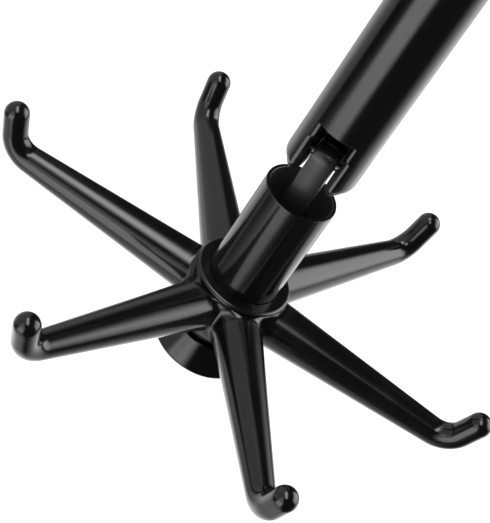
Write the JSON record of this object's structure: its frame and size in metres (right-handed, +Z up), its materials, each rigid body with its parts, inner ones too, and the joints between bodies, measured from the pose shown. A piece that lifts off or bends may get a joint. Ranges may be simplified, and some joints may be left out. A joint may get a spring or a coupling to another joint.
{
  "type": "mug tree",
  "caption": "Hanging mug tree for the underside of a cabinet: a tube on a shoulder hinge, an elbow hinge below it, and a turning hub with upturned hooks.",
  "frame": {"origin": "centre of the adhesive pad's upper face, which sticks to the underside of the cabinet", "axes": "+Z up into the cabinet, down the tube is -Z; -Y is the front, the side with the elbow window; both folding hinges lie along X"},
  "size_m": [0.1914, 0.1744, 0.2947],
  "materials": {
    "gloss_black_plastic": "gloss black",
    "gloss_black_paint": "gloss black",
    "satin_black_plastic": "satin black",
    "zinc_steel": "satin zinc",
    "white_nylon": "satin natural white",
    "grey_foam": "matt dark grey"
  },
  "bodies": {
    "base": {"adhesive_pad": "grey_foam", "base_plate": "gloss_black_plastic", "shoulder_bolt": "zinc_steel", "spring_washer": "zinc_steel", "shoulder_nut": "zinc_steel", "friction_washer_left": "white_nylon", "friction_washer_right": "white_nylon"},
    "arm": {"arm_tube": "gloss_black_paint", "shoulder_knuckle": "satin_black_plastic", "elbow_fork": "satin_black_plastic", "elbow_pin": "zinc_steel"},
    "drop": {"elbow_tongue": "satin_black_plastic", "drop_tube": "gloss_black_paint", "spindle_bolt": "zinc_steel", "spindle_sleeve": "zinc_steel", "thrust_washer": "satin_black_plastic", "bottom_cap": "gloss_black_plastic"},
    "rotor": {"hub": "gloss_black_plastic", "hub_bushing": "white_nylon", "hook_arm_1": "gloss_black_plastic", "hook_arm_2": "gloss_black_plastic", "hook_arm_3": "gloss_black_plastic", "hook_arm_4": "gloss_black_plastic", "hook_arm_5": "gloss_black_plastic", "hook_arm_6": "gloss_black_plastic"}
  },
  "joints": [
    {"name": "shoulder_fold", "type": "hinge", "parent": "base", "child": "arm", "pos_m": [0, 0, -0.024], "axis": [1, 0, 0], "range_deg": [0, 90]},
    {"name": "elbow_fold", "type": "hinge", "parent": "arm", "child": "drop", "pos_m": [0, 0, -0.204], "axis": [1, 0, 0], "range_deg": [-100, 0]},
    {"name": "rotor_spin", "type": "hinge", "parent": "drop", "child": "rotor", "pos_m": [0, 0, -0.2713], "axis": [0, 0, 1], "continuous": true}
  ]
}
